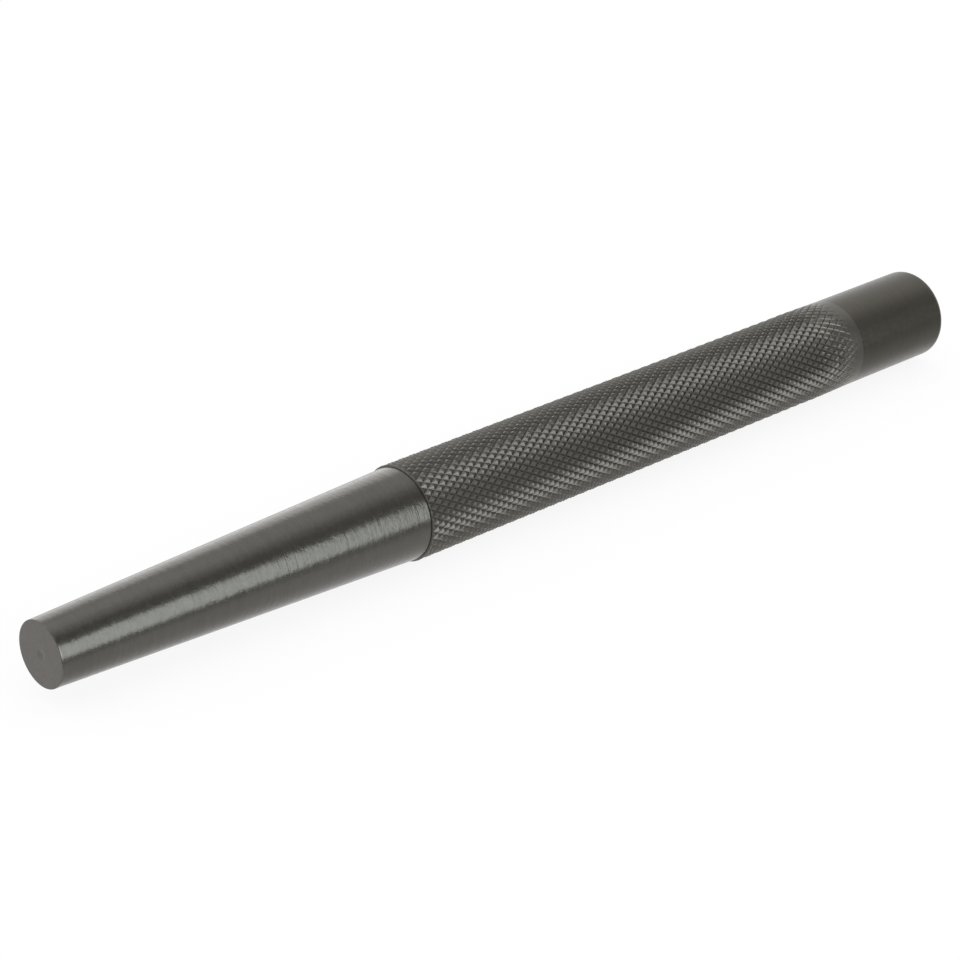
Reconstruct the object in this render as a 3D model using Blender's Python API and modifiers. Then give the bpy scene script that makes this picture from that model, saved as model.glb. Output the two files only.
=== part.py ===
"""Taper punch: one round steel bar with a tapered shank, a knurled grip and a striking head.

The bar lies along X with its tip at -X, resting on its grip at z = 0.
"""

import math

import bpy

# Tapered shank, in metres like every size here
TIP_DIAMETER = 0.0100
TIP_EDGE_BREAK = 0.00015
CENTRE_MARK_DIAMETER = 0.0012
CENTRE_MARK_DEPTH = 0.00025
SHANK_BASE_DIAMETER = 0.0144
SHANK_LENGTH = 0.0645

# Knurled grip: its diameter is taken over the crests of the knurl
GRIP_DIAMETER = 0.0150
GRIP_LENGTH = 0.0965
GRIP_SHOULDER_LENGTH = 0.0002
GRIP_RUNOUT_LENGTH = 0.0080

# Striking head
HEAD_DIAMETER = 0.01475
HEAD_LENGTH = 0.0210
HEAD_CHAMFER = 0.0010

# Stations along the bar, measured from the tip
GRIP_START = SHANK_LENGTH
HEAD_START = GRIP_START + GRIP_LENGTH
BAR_LENGTH = HEAD_START + HEAD_LENGTH

# Flat sides that stand for one full turn of the bar
SIDES = 64
MERGE_DISTANCE = 0.000001


def clear_scene():
    """Remove whatever the open file already holds."""
    for obj in list(bpy.data.objects):
        bpy.data.objects.remove(obj, do_unlink=True)


def steel(name, colour, roughness):
    """Blackened steel of one finish."""
    material = bpy.data.materials.new(name)
    material.use_nodes = True
    shader = material.node_tree.nodes["Principled BSDF"]
    shader.inputs["Base Color"].default_value = (*colour, 1.0)
    shader.inputs["Metallic"].default_value = 1.0
    shader.inputs["Roughness"].default_value = roughness
    return material


def bar_axis():
    """Empty at the tip's centre, with its local Z along the bar towards the head."""
    axis = bpy.data.objects.new("bar_axis", None)
    axis.location = (-BAR_LENGTH / 2, 0.0, GRIP_DIAMETER / 2)
    axis.rotation_euler = (0.0, math.pi / 2, 0.0)
    return axis


def turned(name, profile, material, axis):
    """Solid of revolution from (radius, station) points, listed from its head end to its tip end."""
    half_side = math.pi / SIDES
    points = [(r * math.cos(half_side), r * math.sin(half_side), z) for r, z in profile]
    edges = [(i, i + 1) for i in range(len(points) - 1)]
    mesh = bpy.data.meshes.new(name)
    mesh.from_pydata(points, edges, [])
    mesh.materials.append(material)

    section = bpy.data.objects.new(name, mesh)
    section.parent = axis
    screw = section.modifiers.new("Turn", "SCREW")
    screw.axis = "Z"
    screw.angle = math.tau
    screw.steps = SIDES
    screw.render_steps = SIDES
    screw.use_merge_vertices = True
    screw.merge_threshold = MERGE_DISTANCE
    screw.use_smooth_shade = True
    section.modifiers.new("Crisp edges", "WEIGHTED_NORMAL")
    return section


def tapered_shank(axis):
    """Cone from the flat tip to the grip, with a broken tip edge and a shallow centre mark."""
    tip_radius = TIP_DIAMETER / 2
    profile = [
        (0.0, GRIP_START),
        (SHANK_BASE_DIAMETER / 2, GRIP_START),
        (tip_radius, TIP_EDGE_BREAK),
        (tip_radius - TIP_EDGE_BREAK, 0.0),
        (CENTRE_MARK_DIAMETER / 2, 0.0),
        (0.0, CENTRE_MARK_DEPTH),
    ]
    finish = steel("ground_steel", (0.108, 0.104, 0.095), 0.24)
    return turned("tapered_shank", profile, finish, axis)


def knurled_grip(axis):
    """Cylinder over the knurl's crests, sloping down to the shank in front and to the head behind."""
    grip_radius = GRIP_DIAMETER / 2
    profile = [
        (0.0, HEAD_START),
        (HEAD_DIAMETER / 2, HEAD_START),
        (grip_radius, HEAD_START - GRIP_RUNOUT_LENGTH),
        (grip_radius, GRIP_START + GRIP_SHOULDER_LENGTH),
        (SHANK_BASE_DIAMETER / 2, GRIP_START),
        (0.0, GRIP_START),
    ]
    finish = steel("knurled_steel", (0.122, 0.115, 0.100), 0.34)
    return turned("knurled_grip", profile, finish, axis)


def striking_head(axis):
    """Plain end of the bar, with a chamfer round the flat face that is struck."""
    head_radius = HEAD_DIAMETER / 2
    profile = [
        (0.0, BAR_LENGTH),
        (head_radius - HEAD_CHAMFER, BAR_LENGTH),
        (head_radius, BAR_LENGTH - HEAD_CHAMFER),
        (head_radius, HEAD_START),
        (0.0, HEAD_START),
    ]
    finish = steel("turned_steel", (0.096, 0.089, 0.075), 0.32)
    return turned("striking_head", profile, finish, axis)


def main():
    clear_scene()
    parts = bpy.data.collections.new("taper_punch")
    bpy.context.scene.collection.children.link(parts)
    axis = bar_axis()
    for obj in (axis, tapered_shank(axis), knurled_grip(axis), striking_head(axis)):
        parts.objects.link(obj)
    bpy.context.view_layer.update()


if __name__ == "__main__":
    main()
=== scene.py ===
import math

import bpy
import numpy as np
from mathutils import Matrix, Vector


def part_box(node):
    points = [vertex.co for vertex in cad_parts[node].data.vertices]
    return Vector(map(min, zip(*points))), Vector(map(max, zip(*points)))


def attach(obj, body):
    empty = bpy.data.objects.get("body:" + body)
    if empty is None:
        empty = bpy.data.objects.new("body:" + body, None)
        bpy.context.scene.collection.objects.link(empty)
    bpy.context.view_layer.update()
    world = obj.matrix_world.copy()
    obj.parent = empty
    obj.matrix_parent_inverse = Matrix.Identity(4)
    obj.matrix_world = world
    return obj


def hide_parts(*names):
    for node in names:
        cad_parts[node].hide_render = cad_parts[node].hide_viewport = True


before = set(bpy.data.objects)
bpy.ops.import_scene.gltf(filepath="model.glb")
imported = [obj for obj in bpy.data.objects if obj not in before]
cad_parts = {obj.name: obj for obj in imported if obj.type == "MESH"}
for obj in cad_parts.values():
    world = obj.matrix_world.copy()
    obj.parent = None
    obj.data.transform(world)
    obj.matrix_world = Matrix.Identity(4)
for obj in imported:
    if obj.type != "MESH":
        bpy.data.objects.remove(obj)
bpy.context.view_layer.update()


# Tapered shank: the cone that goes into the hole, from its flat tip to the grip's shoulder.
# Tool steel, turned and ground to a satin with its tip faced off square, then blackened all over.
# It is the front end of the one bar that the whole punch is made from.
shank_low, shank_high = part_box("tapered_shank")
grip_low, grip_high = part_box("knurled_grip")
TIP_X = shank_low.x
SHOULDER_X = shank_high.x
AXIS_HEIGHT = (grip_low.z + grip_high.z) / 2
TIP_RADIUS = 0.0050
TIP_EDGE_RADIUS = 0.00008
CENTRE_MARK_RADIUS = 0.0007
CENTRE_MARK_DEPTH = 0.00025
SHANK_BASE_RADIUS = 0.0072
SUPPORT_RING = 0.0004
TURNED_SIDES = 256
TURNED_SHARP_DEGREES = 20
ARC_STEPS = 8
FACING_TIP = 180
FACING_OUT = 90
CONE_LEAN = 2
SHANK_DARK = (0.095, 0.091, 0.082, 1.0)
SHANK_LIGHT = (0.122, 0.118, 0.108, 1.0)
SHANK_SHEEN = (0.19, 0.28)
SHANK_RINGS_PER_METRE = 1300.0
SHANK_LINE_DEPTH = 0.000020
TIP_FACE_DARK = (0.136, 0.128, 0.117, 1.0)
TIP_FACE_LIGHT = (0.158, 0.149, 0.137, 1.0)
TIP_FACE_SHEEN = (0.36, 0.46)
TIP_FACE_RINGS_PER_METRE = 5000.0
TIP_FACE_LINE_DEPTH = 0.000004
TIP_FACE_NORMAL_X = -0.8
TIP_RUB_REACH = 0.0003
BARE_STEEL = (0.22, 0.21, 0.19, 1.0)
SQUARE_ROOT = 0.5


def arc(x, r, radius, start, end):
    """Points (x, r) on a small arc round a corner of a profile, with its angles in degrees."""
    steps = [math.radians(start + (end - start) * step / ARC_STEPS) for step in range(ARC_STEPS + 1)]
    return [(x + radius * math.cos(a), r + radius * math.sin(a)) for a in steps]


def turned_piece(name, profile):
    """Closed lathe mesh about the bar's axis, from (x, r) points that run from tip end to head end."""
    mesh = bpy.data.meshes.new(name)
    angles = np.arange(TURNED_SIDES) * math.tau / TURNED_SIDES
    verts = []
    rings = []
    for x, r in profile:
        start = len(verts)
        if r == 0.0:
            verts.append((x, 0.0, AXIS_HEIGHT))
            rings.append([start])
        else:
            verts += [(x, r * math.sin(a), AXIS_HEIGHT + r * math.cos(a)) for a in angles]
            rings.append(list(range(start, start + TURNED_SIDES)))
    faces = []
    for near, far in zip(rings, rings[1:]):
        for side in range(TURNED_SIDES):
            next_side = (side + 1) % TURNED_SIDES
            if len(near) == 1:
                faces.append((near[0], far[side], far[next_side]))
            elif len(far) == 1:
                faces.append((near[next_side], near[side], far[0]))
            else:
                faces.append((near[side], far[side], far[next_side], near[next_side]))
    mesh.from_pydata(verts, [], faces)
    mesh.shade_smooth()
    mesh.set_sharp_from_angle(angle=math.radians(TURNED_SHARP_DEGREES))
    piece = bpy.data.objects.new(name, mesh)
    bpy.context.scene.collection.objects.link(piece)
    return piece


def new_group(name, inputs, outputs):
    """Empty shader node group with float or colour sockets, and its input and output nodes."""
    group = bpy.data.node_groups.new(name, "ShaderNodeTree")
    for label, kind in inputs:
        group.interface.new_socket(name=label, in_out="INPUT", socket_type=kind)
    for label, kind in outputs:
        group.interface.new_socket(name=label, in_out="OUTPUT", socket_type=kind)
    return group, group.nodes.new("NodeGroupInput"), group.nodes.new("NodeGroupOutput")


def add(tree, kind, **settings):
    """New node of one kind, with its own settings."""
    node = tree.nodes.new(kind)
    for key, value in settings.items():
        setattr(node, key, value)
    return node


def feed(tree, socket, value):
    """Link a node's input to another node's output, or give it a plain value."""
    if isinstance(value, bpy.types.NodeSocket):
        tree.links.new(value, socket)
    else:
        socket.default_value = value


def math_node(tree, operation, *values):
    """Math node whose inputs are sockets or plain numbers."""
    node = add(tree, "ShaderNodeMath", operation=operation)
    for socket, value in zip(node.inputs, values):
        feed(tree, socket, value)
    return node.outputs[0]


def mix_colour(tree, share, first, second):
    """Blend of two colours, from the first at a share of 0 to the second at 1."""
    node = add(tree, "ShaderNodeMix", data_type="RGBA")
    for label, value in (("Factor", share), ("A", first), ("B", second)):
        feed(tree, node.inputs[label], value)
    return node.outputs["Result"]


def fade(tree, value, start, end, low=0.0, high=1.0, curve="SMOOTHSTEP"):
    """Number that goes from low to high while a value goes from start to end."""
    node = add(tree, "ShaderNodeMapRange", interpolation_type=curve)
    limits = (("From Min", start), ("From Max", end), ("To Min", low), ("To Max", high))
    for label, given_value in (("Value", value), *limits):
        feed(tree, node.inputs[label], given_value)
    return node.outputs["Result"]


def noise(tree, place, scale, detail, roughness):
    """Noise over a place on the bar."""
    node = add(tree, "ShaderNodeTexNoise")
    settings = (("Vector", place), ("Scale", scale), ("Detail", detail), ("Roughness", roughness))
    for label, value in settings:
        feed(tree, node.inputs[label], value)
    return node.outputs["Fac"]


def ring_noise(tree, count, scale, detail, roughness):
    """Noise that changes only from ring to ring of the bar."""
    node = add(tree, "ShaderNodeTexNoise", noise_dimensions="1D")
    settings = (("W", count), ("Scale", scale), ("Detail", detail), ("Roughness", roughness))
    for label, value in settings:
        feed(tree, node.inputs[label], value)
    return node.outputs["Fac"]


def bar_spot(tree):
    """Place of a point on the bar, as a vector in metres."""
    return add(tree, "ShaderNodeTexCoord").outputs["Object"]


def split_vector(tree, vector):
    """The X, Y and Z of a vector, by name."""
    node = add(tree, "ShaderNodeSeparateXYZ")
    tree.links.new(vector, node.inputs[0])
    return node.outputs


def from_axis(tree, spot):
    """Distance of a place from the bar's axis."""
    split = split_vector(tree, spot)
    upward = math_node(tree, "SUBTRACT", split["Z"], AXIS_HEIGHT)
    across_squared = math_node(tree, "MULTIPLY", split["Y"], split["Y"])
    upward_squared = math_node(tree, "MULTIPLY", upward, upward)
    squared = math_node(tree, "ADD", across_squared, upward_squared)
    return math_node(tree, "POWER", squared, SQUARE_ROOT)


# Lathe lines: rings that a tool or a wheel leaves round the bar and across its end faces,
# with short scratches among them that follow the rings
FLOAT = "NodeSocketFloat"
SCRATCH_FINENESS_ROUND_BAR = 0.30
lathe_lines, given, result = new_group(
    "lathe_lines",
    [("Rings per metre", FLOAT)],
    [("Height", FLOAT), ("Streak", FLOAT)],
)
spot = bar_spot(lathe_lines)
along = split_vector(lathe_lines, spot)["X"]
outline = math_node(lathe_lines, "ADD", along, from_axis(lathe_lines, spot))
ring_count = math_node(lathe_lines, "MULTIPLY", outline, given.outputs["Rings per metre"])
fine = ring_noise(lathe_lines, ring_count, scale=1.0, detail=3.0, roughness=0.6)
coarse = ring_noise(lathe_lines, ring_count, scale=0.45, detail=3.0, roughness=0.7)
rings = fade(lathe_lines, coarse, start=0.30, end=0.70, high=0.5)
round_bar = add(lathe_lines, "ShaderNodeVectorMath", operation="MULTIPLY")
lathe_lines.links.new(spot, round_bar.inputs[0])
round_bar.inputs[1].default_value = (0.0, SCRATCH_FINENESS_ROUND_BAR, SCRATCH_FINENESS_ROUND_BAR)
across_rings = add(lathe_lines, "ShaderNodeCombineXYZ")
lathe_lines.links.new(outline, across_rings.inputs["X"])
drawn_out = add(lathe_lines, "ShaderNodeVectorMath", operation="ADD")
lathe_lines.links.new(round_bar.outputs[0], drawn_out.inputs[0])
lathe_lines.links.new(across_rings.outputs[0], drawn_out.inputs[1])
counted = add(lathe_lines, "ShaderNodeVectorMath", operation="SCALE")
lathe_lines.links.new(drawn_out.outputs[0], counted.inputs[0])
lathe_lines.links.new(given.outputs["Rings per metre"], counted.inputs["Scale"])
scratched = noise(lathe_lines, counted.outputs[0], scale=0.9, detail=2.0, roughness=0.6)
scratches = fade(lathe_lines, scratched, start=0.35, end=0.75, high=0.5)
lathe_lines.links.new(math_node(lathe_lines, "ADD", fine, scratches), result.inputs["Height"])
lathe_lines.links.new(math_node(lathe_lines, "ADD", rings, scratches), result.inputs["Streak"])

# Oxide film: the cloudy tone of a blackened surface, with a fine grain and a slight change of sheen
COLOUR = "NodeSocketColor"
CLOUD_SHARE = 0.6
STREAK_SHARE = 0.4
oxide_film, given, result = new_group(
    "oxide_film",
    [("Dark", COLOUR), ("Light", COLOUR), ("Streak", FLOAT), ("Sheen low", FLOAT), ("Sheen high", FLOAT)],
    [("Color", COLOUR), ("Roughness", FLOAT), ("Grain", FLOAT)],
)
spot = bar_spot(oxide_film)
clouds = noise(oxide_film, spot, scale=140.0, detail=6.0, roughness=0.6)
grain = noise(oxide_film, spot, scale=1600.0, detail=3.0, roughness=0.6)
cloud_share = math_node(oxide_film, "MULTIPLY", clouds, CLOUD_SHARE)
streak_share = math_node(oxide_film, "MULTIPLY", given.outputs["Streak"], STREAK_SHARE)
light_share = math_node(oxide_film, "ADD", cloud_share, streak_share)
tone = mix_colour(oxide_film, light_share, given.outputs["Dark"], given.outputs["Light"])
sheen = fade(oxide_film, grain, start=0.3, end=0.7, curve="LINEAR",
             low=given.outputs["Sheen low"], high=given.outputs["Sheen high"])
oxide_film.links.new(tone, result.inputs["Color"])
oxide_film.links.new(sheen, result.inputs["Roughness"])
oxide_film.links.new(grain, result.inputs["Grain"])

# Rubbed edge: a thin broken line beside a turned edge, where handling has worn the black off
rubbed_edge, given, result = new_group(
    "rubbed_edge",
    [("Edge", FLOAT), ("Rim", FLOAT), ("Reach", FLOAT)],
    [("Mask", FLOAT)],
)
spot = bar_spot(rubbed_edge)
along = split_vector(rubbed_edge, spot)["X"]
off_end = math_node(rubbed_edge, "SUBTRACT", along, given.outputs["Edge"])
off_rim = math_node(rubbed_edge, "SUBTRACT", from_axis(rubbed_edge, spot), given.outputs["Rim"])
off_end = math_node(rubbed_edge, "ABSOLUTE", off_end)
off_rim = math_node(rubbed_edge, "ABSOLUTE", off_rim)
off_edge = math_node(rubbed_edge, "ADD", off_end, off_rim)
off_share = math_node(rubbed_edge, "DIVIDE", off_edge, given.outputs["Reach"])
nearness = math_node(rubbed_edge, "SUBTRACT", 1.0, off_share)
nearness = math_node(rubbed_edge, "MAXIMUM", nearness, 0.0)
patches = noise(rubbed_edge, spot, scale=700.0, detail=4.0, roughness=0.6)
broken = fade(rubbed_edge, patches, start=0.35, end=0.70)
rubbed_edge.links.new(math_node(rubbed_edge, "MULTIPLY", nearness, broken), result.inputs["Mask"])

# Shares of the film in a finish: its streak where no lathe lines show, and its grain among the lines
PLAIN_STREAK = 0.5
GRAIN_SHARE = 1.2


def place_group(tree, group, values):
    """Node group placed in a material, with its own values."""
    node = add(tree, "ShaderNodeGroup", node_tree=group)
    for label, value in values.items():
        node.inputs[label].default_value = value
    return node


def black_steel(name, dark, light, sheen):
    """Blackened steel: its material, its shader and the oxide film that feeds the shader."""
    material = bpy.data.materials.new(name)
    material.use_nodes = True
    tree = material.node_tree
    shader = tree.nodes["Principled BSDF"]
    shader.inputs["Metallic"].default_value = 1.0
    sheen_low, sheen_high = sheen
    film = place_group(tree, oxide_film, {
        "Dark": dark,
        "Light": light,
        "Streak": PLAIN_STREAK,
        "Sheen low": sheen_low,
        "Sheen high": sheen_high,
    })
    tree.links.new(film.outputs["Color"], shader.inputs["Base Color"])
    tree.links.new(film.outputs["Roughness"], shader.inputs["Roughness"])
    return material, shader, film


def add_bump(tree, shader, height, depth):
    """Bump in which a height of 1 stands for a given depth in metres."""
    bump = add(tree, "ShaderNodeBump")
    bump.inputs["Strength"].default_value = 1.0
    bump.inputs["Distance"].default_value = depth
    tree.links.new(height, bump.inputs["Height"])
    tree.links.new(bump.outputs["Normal"], shader.inputs["Normal"])


def add_lathe_lines(tree, shader, film, rings_per_metre, depth):
    """Lathe lines in the tone and in the bump of a blackened surface."""
    lines = place_group(tree, lathe_lines, {"Rings per metre": rings_per_metre})
    tree.links.new(lines.outputs["Streak"], film.inputs["Streak"])
    grain_height = math_node(tree, "MULTIPLY", film.outputs["Grain"], GRAIN_SHARE)
    add_bump(tree, shader, math_node(tree, "ADD", lines.outputs["Height"], grain_height), depth)


def add_rub(tree, shader, film, edge, rim, reach):
    """Bare steel that shows through the black along one turned edge."""
    worn = place_group(tree, rubbed_edge, {"Edge": edge, "Rim": rim, "Reach": reach})
    tone = mix_colour(tree, worn.outputs["Mask"], film.outputs["Color"], BARE_STEEL)
    tree.links.new(tone, shader.inputs["Base Color"])


cone_slope = (SHANK_BASE_RADIUS - TIP_RADIUS) / (SHOULDER_X - TIP_X)
tip_arc_x = TIP_X + TIP_EDGE_RADIUS
tip_arc_r = TIP_RADIUS - TIP_EDGE_RADIUS
shank_profile = [
    (TIP_X + CENTRE_MARK_DEPTH, 0.0),
    (TIP_X, CENTRE_MARK_RADIUS),
    (TIP_X, CENTRE_MARK_RADIUS + SUPPORT_RING),
    (TIP_X, tip_arc_r - SUPPORT_RING),
    *arc(tip_arc_x, tip_arc_r, TIP_EDGE_RADIUS, FACING_TIP, FACING_OUT + CONE_LEAN),
    (TIP_X + SUPPORT_RING, TIP_RADIUS + cone_slope * SUPPORT_RING),
    (SHOULDER_X, SHANK_BASE_RADIUS),
    (SHOULDER_X, 0.0),
]
shank = turned_piece("shank_cone", shank_profile)

ground_steel, shader, film = black_steel("ground_black_steel", SHANK_DARK, SHANK_LIGHT, SHANK_SHEEN)
add_lathe_lines(ground_steel.node_tree, shader, film, SHANK_RINGS_PER_METRE, SHANK_LINE_DEPTH)
add_rub(ground_steel.node_tree, shader, film, TIP_X, TIP_RADIUS, TIP_RUB_REACH)
shank.data.materials.append(ground_steel)

# The faced tip is a second finish on the same piece
faced_steel, shader, film = black_steel("faced_black_steel", TIP_FACE_DARK, TIP_FACE_LIGHT, TIP_FACE_SHEEN)
add_lathe_lines(faced_steel.node_tree, shader, film, TIP_FACE_RINGS_PER_METRE, TIP_FACE_LINE_DEPTH)
faced_place = len(shank.data.materials)
shank.data.materials.append(faced_steel)
for face in shank.data.polygons:
    if face.normal.x < TIP_FACE_NORMAL_X:
        face.material_index = faced_place

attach(shank, "root")
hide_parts("tapered_shank")


# Knurled grip: the middle of the bar, where the hand holds it.
# Two crossing sets of slanted grooves are rolled into the steel and raise a net of small diamonds.
# It stands a step above the shank, and its grooves run out into a plain ring before the head.
GRIP_RADIUS = 0.0075
HEAD_RADIUS = 0.007375
SHOULDER_LENGTH = 0.0002
SHOULDER_STEPS = (0.0, 0.15, 0.35, 0.65)
SHOULDER_CURVE = 2.2
KNURL_STARTS = 38
KNURL_PITCH_X = 0.002143
KNURL_FRONT_DEPTH = 0.000275
KNURL_MIDDLE_DEPTH = 0.000335
KNURL_REAR_DEPTH = 0.000355
KNURL_MIDDLE_X = 0.015
KNURL_OFF_CENTRE = 0.05
KNURL_FLANK = 0.41
KNURL_STEPS = 6
KNURL_SHARP_DEGREES = 25
KNURL_FADE = 0.0100
FIRST_RING_CUT = 0.5
RUNOUT_RING = 0.0010
REAR_FALL = 0.0080
GRIP_DARK = (0.118, 0.110, 0.097, 1.0)
GRIP_LIGHT = (0.148, 0.140, 0.123, 1.0)
GRIP_SHEEN = (0.30, 0.38)
GRIP_GRAIN_DEPTH = 0.000003
# Painted shade: a darker colour painted into the bottoms of the knurl's grooves, and how far up the
# grooves it reaches
GROOVE_SHADE_COLOUR = (0.101, 0.095, 0.084, 1.0)
GROOVE_SHADE_TOP = 0.35

HEAD_X = grip_high.x
KNURL_X = SHOULDER_X + SHOULDER_LENGTH
ring_step = KNURL_PITCH_X / KNURL_STEPS
shoulder_x = SHOULDER_X + SHOULDER_LENGTH * np.array(SHOULDER_STEPS)
knurl_x = np.arange(KNURL_X, HEAD_X - ring_step / 2, ring_step)
ring_x = np.concatenate([shoulder_x, knurl_x, [HEAD_X]])
sides = KNURL_STARTS * KNURL_STEPS
angle = np.arange(sides) * math.tau / sides
turn = np.arange(sides) / KNURL_STEPS
slide = (ring_x[:, None] - KNURL_X) / KNURL_PITCH_X


def groove(phase):
    """Height of the flank beside one set of grooves, from 0 in the groove to 1 on the land."""
    return np.clip(np.abs(phase - np.round(phase)) / KNURL_FLANK, 0.0, 1.0)


# The grooves deepen towards the head, and are a little deeper on top than below.
# Before the plain ring they get shallower and narrower, while the lands between them grow.
height = np.minimum(groove(slide + turn), groove(slide - turn))
run_in = np.ones(len(ring_x))
run_in[:len(shoulder_x)] = 0.0
run_in[len(shoulder_x)] = FIRST_RING_CUT
run_out = np.clip((HEAD_X - RUNOUT_RING - ring_x) / KNURL_FADE, 0.0, 1.0)
depth_marks = [KNURL_FRONT_DEPTH, KNURL_MIDDLE_DEPTH, KNURL_REAR_DEPTH]
full_depth = np.interp(ring_x, [KNURL_X, KNURL_MIDDLE_X, HEAD_X], depth_marks)
uneven = 1.0 + KNURL_OFF_CENTRE * np.cos(angle)
cut_share = np.clip((run_in * run_out)[:, None] - height, 0.0, 1.0)
cut = full_depth[:, None] * uneven * cut_share
shoulder_rise = 1.0 - np.clip((KNURL_X - ring_x) / SHOULDER_LENGTH, 0.0, 1.0) ** SHOULDER_CURVE
rear_fall = np.clip((ring_x - HEAD_X + REAR_FALL) / REAR_FALL, 0.0, 1.0)
crest = SHANK_BASE_RADIUS + (GRIP_RADIUS - SHANK_BASE_RADIUS) * shoulder_rise
crest = crest - (GRIP_RADIUS - HEAD_RADIUS) * rear_fall
radius = crest[:, None] - cut
grip_verts = np.stack([
    np.repeat(ring_x[:, None], sides, axis=1),
    radius * np.sin(angle),
    AXIS_HEIGHT + radius * np.cos(angle),
], axis=-1).reshape(-1, 3)

# Each small square becomes two triangles: split along a forward groove where one crosses it,
# and everywhere else the other way, as the backward grooves run
index = np.arange(len(ring_x) * sides).reshape(len(ring_x), sides)
next_index = np.roll(index, -1, axis=1)
near_this = index[:-1]
near_next = next_index[:-1]
far_this = index[1:]
far_next = next_index[1:]
ring_number = np.arange(len(ring_x) - 1) - len(shoulder_x)
forward = (ring_number[:, None] - np.arange(sides)) % KNURL_STEPS == 0
first_triangle = np.where(
    forward[..., None],
    np.stack([near_this, far_next, near_next], -1),
    np.stack([near_this, far_this, near_next], -1),
)
second_triangle = np.where(
    forward[..., None],
    np.stack([near_this, far_this, far_next], -1),
    np.stack([near_next, far_this, far_next], -1),
)
grip_faces = np.concatenate([first_triangle.reshape(-1, 3), second_triangle.reshape(-1, 3)]).tolist()
grip_faces.append(index[0].tolist())
grip_faces.append(index[-1][::-1].tolist())

grip_mesh = bpy.data.meshes.new("knurled_length")
grip_mesh.from_pydata(grip_verts.tolist(), [], grip_faces)
grip_mesh.shade_smooth()
grip_mesh.set_sharp_from_angle(angle=math.radians(KNURL_SHARP_DEGREES))
grip = bpy.data.objects.new("knurled_length", grip_mesh)
bpy.context.scene.collection.objects.link(grip)

knurled_steel, shader, film = black_steel("knurled_black_steel", GRIP_DARK, GRIP_LIGHT, GRIP_SHEEN)
tree = knurled_steel.node_tree
# Painted shade: the grip's colour darkens to the groove colour towards the groove floors, by distance from
# the axis
groove_floor = GRIP_RADIUS - KNURL_FRONT_DEPTH
shade_fade_top = GRIP_RADIUS - GROOVE_SHADE_TOP * KNURL_FRONT_DEPTH
out_of_groove_shade = fade(tree, from_axis(tree, bar_spot(tree)), start=groove_floor, end=shade_fade_top)
tone = mix_colour(tree, out_of_groove_shade, GROOVE_SHADE_COLOUR, film.outputs["Color"])
tree.links.new(tone, shader.inputs["Base Color"])
add_bump(tree, shader, film.outputs["Grain"], GRIP_GRAIN_DEPTH)
grip.data.materials.append(knurled_steel)
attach(grip, "root")
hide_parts("knurled_grip")


# Striking head: the plain end of the bar that the hammer meets.
# Turned from the same steel to a dull satin and blackened, with the edge of its flat face rounded over.
HEAD_END_X = max(corner.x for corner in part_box("striking_head"))
HEAD_EDGE_RADIUS = 0.0012
FACING_HEAD = 0
HEAD_DARK = (0.086, 0.079, 0.066, 1.0)
HEAD_LIGHT = (0.107, 0.099, 0.084, 1.0)
HEAD_SHEEN = (0.28, 0.36)
HEAD_RINGS_PER_METRE = 2200.0
HEAD_LINE_DEPTH = 0.000004
HEAD_RUB_REACH = 0.0013

head_arc_x = HEAD_END_X - HEAD_EDGE_RADIUS
head_arc_r = HEAD_RADIUS - HEAD_EDGE_RADIUS
head_profile = [
    (HEAD_X, 0.0),
    (HEAD_X, HEAD_RADIUS),
    (head_arc_x - SUPPORT_RING, HEAD_RADIUS),
    *arc(head_arc_x, head_arc_r, HEAD_EDGE_RADIUS, FACING_OUT, FACING_HEAD),
    (HEAD_END_X, head_arc_r - SUPPORT_RING),
    (HEAD_END_X, 0.0),
]
head = turned_piece("head_plain_end", head_profile)

turned_steel, shader, film = black_steel("turned_black_steel", HEAD_DARK, HEAD_LIGHT, HEAD_SHEEN)
add_lathe_lines(turned_steel.node_tree, shader, film, HEAD_RINGS_PER_METRE, HEAD_LINE_DEPTH)
add_rub(turned_steel.node_tree, shader, film, HEAD_END_X, HEAD_RADIUS, HEAD_RUB_REACH)
head.data.materials.append(turned_steel)
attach(head, "root")
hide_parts("striking_head")


# Studio: white paper under the punch and on the wall behind, in a room that is dim on the camera's
# side and a little dim at the far right. Three softboxes light it: one in front on the right, one
# overhead and one at the back.
FLOOR_SIZE = 6.0
PAPER_WHITE = (0.92, 0.92, 0.92, 1.0)
PAPER_GLOW = 0.88
WHITE = (1.0, 1.0, 1.0)
COOL_WHITE = (0.90, 0.97, 1.0)
ROOM_LEVEL = 0.98
DIM_LEVEL = 0.375
WALL_DIRECTION = (0.259, 0.966, 0.0)
WALL_FROM = -0.30
WALL_TO = 0.30
FAR_RIGHT_FROM = 0.74
FAR_RIGHT_TO = 0.92
FAR_RIGHT_LEVEL = 0.75
PAPER_FROM = -0.10
PAPER_TO = -0.48
PAPER_LEFT_FROM = 0.10
PAPER_LEFT_TO = 0.50
PAPER_LEFT_LEVEL = 0.45
PAPER_RIGHT_FROM = 0.55
PAPER_RIGHT_TO = 0.80
PAPER_RIGHT_LEVEL = 0.22

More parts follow.
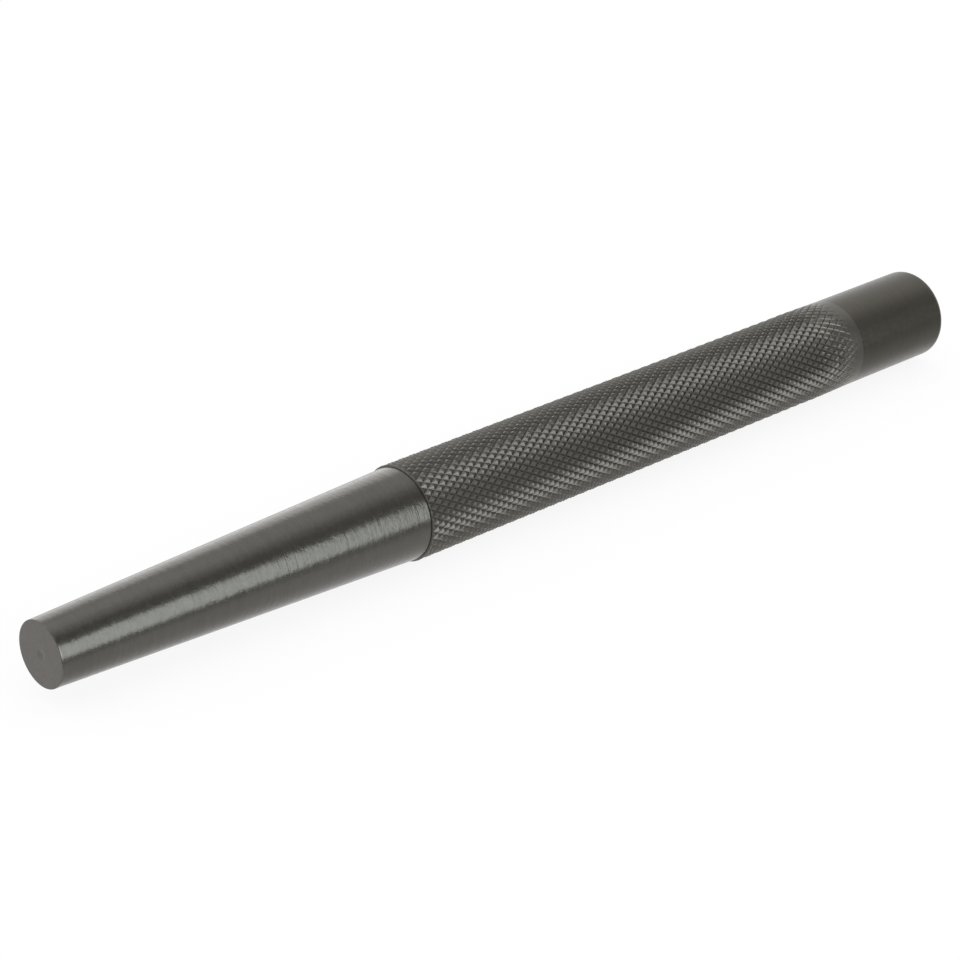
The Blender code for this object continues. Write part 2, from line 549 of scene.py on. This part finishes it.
# The steel doesn't reflect this sheet: the room's light, set further on, shows it the paper instead
half = FLOOR_SIZE / 2
floor_corners = [(-half, -half, 0.0), (half, -half, 0.0), (half, half, 0.0), (-half, half, 0.0)]
floor_mesh = bpy.data.meshes.new("paper_floor")
floor_mesh.from_pydata(floor_corners, [], [(0, 1, 2, 3)])
floor = bpy.data.objects.new("paper_floor", floor_mesh)
bpy.context.scene.collection.objects.link(floor)
floor.visible_glossy = False
paper = bpy.data.materials.new("white_paper")
paper.use_nodes = True
tree = paper.node_tree
tree.nodes.remove(tree.nodes["Principled BSDF"])
matt = add(tree, "ShaderNodeBsdfDiffuse")
matt.inputs["Color"].default_value = PAPER_WHITE
seen = add(tree, "ShaderNodeLightPath")
glow = add(tree, "ShaderNodeEmission")
blend = add(tree, "ShaderNodeMixShader")
tree.links.new(math_node(tree, "MULTIPLY", seen.outputs["Is Camera Ray"], PAPER_GLOW), blend.inputs["Fac"])
tree.links.new(matt.outputs[0], blend.inputs[1])
tree.links.new(glow.outputs[0], blend.inputs[2])
tree.links.new(blend.outputs[0], tree.nodes["Material Output"].inputs["Surface"])
floor_mesh.materials.append(paper)


def softbox(name, centre, aim, width, height, brightness, colour):
    """Rectangular softbox that faces a point, with the brightness of its front."""
    lamp = bpy.data.lights.new(name, "AREA")
    lamp.shape = "RECTANGLE"
    lamp.size = width
    lamp.size_y = height
    lamp.energy = brightness * math.pi * width * height
    lamp.color = colour
    box = bpy.data.objects.new(name, lamp)
    box.location = centre
    box.rotation_euler = (Vector(aim) - Vector(centre)).to_track_quat("-Z", "Y").to_euler()
    box.visible_camera = False
    bpy.context.scene.collection.objects.link(box)


softbox("front_softbox", centre=(0.20, -0.75, 0.235), aim=(0.20, 0.0, 0.235),
        width=0.70, height=0.62, brightness=2.6, colour=COOL_WHITE)
softbox("top_softbox", centre=(0.05, 0.05, 1.00), aim=(0.05, 0.05, 0.0),
        width=1.0, height=1.0, brightness=0.26, colour=WHITE)
softbox("rear_softbox", centre=(0.47, 0.78, 0.30), aim=(0.0, 0.0, 0.30),
        width=0.50, height=0.75, brightness=0.80, colour=WHITE)

world = bpy.data.worlds.new("studio_room")
bpy.context.scene.world = world
world.use_nodes = True
tree = world.node_tree
room = tree.nodes["Background"]
room.inputs["Color"].default_value = (ROOM_LEVEL, ROOM_LEVEL, ROOM_LEVEL, 1.0)
seen = add(tree, "ShaderNodeLightPath")
direction = add(tree, "ShaderNodeTexCoord").outputs["Generated"]
towards_wall = add(tree, "ShaderNodeVectorMath", operation="DOT_PRODUCT")
tree.links.new(direction, towards_wall.inputs[0])
towards_wall.inputs[1].default_value = WALL_DIRECTION
rightward = split_vector(tree, direction)["X"]
upward = split_vector(tree, direction)["Z"]
wall = fade(tree, towards_wall.outputs["Value"], WALL_FROM, WALL_TO, low=DIM_LEVEL)
far_right = fade(tree, rightward, FAR_RIGHT_FROM, FAR_RIGHT_TO, low=1.0, high=FAR_RIGHT_LEVEL)
wall = math_node(tree, "MINIMUM", wall, far_right)
below = fade(tree, upward, PAPER_FROM, PAPER_TO, high=1.0 - DIM_LEVEL)
left_end = fade(tree, rightward, PAPER_LEFT_FROM, PAPER_LEFT_TO, low=PAPER_LEFT_LEVEL)
right_end = fade(tree, rightward, PAPER_RIGHT_FROM, PAPER_RIGHT_TO, low=1.0, high=PAPER_RIGHT_LEVEL)
below = math_node(tree, "MULTIPLY", below, math_node(tree, "MULTIPLY", left_end, right_end))
below = math_node(tree, "ADD", below, DIM_LEVEL)
paper_seen = math_node(tree, "MAXIMUM", wall, below)
paper_seen = math_node(tree, "MAXIMUM", paper_seen, seen.outputs["Is Camera Ray"])
backdrop = add(tree, "ShaderNodeBackground")
backdrop.inputs["Color"].default_value = (*WHITE, 1.0)
tree.links.new(paper_seen, backdrop.inputs["Strength"])
blend = add(tree, "ShaderNodeMixShader")
shown = math_node(tree, "MAXIMUM", seen.outputs["Is Camera Ray"], seen.outputs["Is Glossy Ray"])
shown = math_node(tree, "MAXIMUM", shown, seen.outputs["Is Transmission Ray"])
tree.links.new(shown, blend.inputs["Fac"])
tree.links.new(room.outputs[0], blend.inputs[1])
tree.links.new(backdrop.outputs[0], blend.inputs[2])
tree.links.new(blend.outputs[0], tree.nodes["World Output"].inputs["Surface"])
bpy.context.scene.view_settings.view_transform = "Standard"


# Camera: a long lens that looks along the bar from the tip's side, a little from above.
# It stands close enough for the head to look smaller than the grip's front.
AIM = Vector((-0.01002, 0.00008, 0.00771))
AZIMUTH = math.radians(-43.09)
ELEVATION = math.radians(24.876)
DISTANCE = 0.460
LENS = 114.28
SENSOR_WIDTH = 36.0
CLIP_START = 0.01

camera_data = bpy.data.cameras.new("camera")
camera_data.lens = LENS
camera_data.sensor_width = SENSOR_WIDTH
camera_data.clip_start = CLIP_START
camera = bpy.data.objects.new("camera", camera_data)
camera.location = AIM + DISTANCE * Vector((
    math.sin(AZIMUTH) * math.cos(ELEVATION),
    -math.cos(AZIMUTH) * math.cos(ELEVATION),
    math.sin(ELEVATION),
))
camera.rotation_euler = (AIM - camera.location).to_track_quat("-Z", "Y").to_euler()
bpy.context.scene.collection.objects.link(camera)
bpy.context.scene.camera = camera
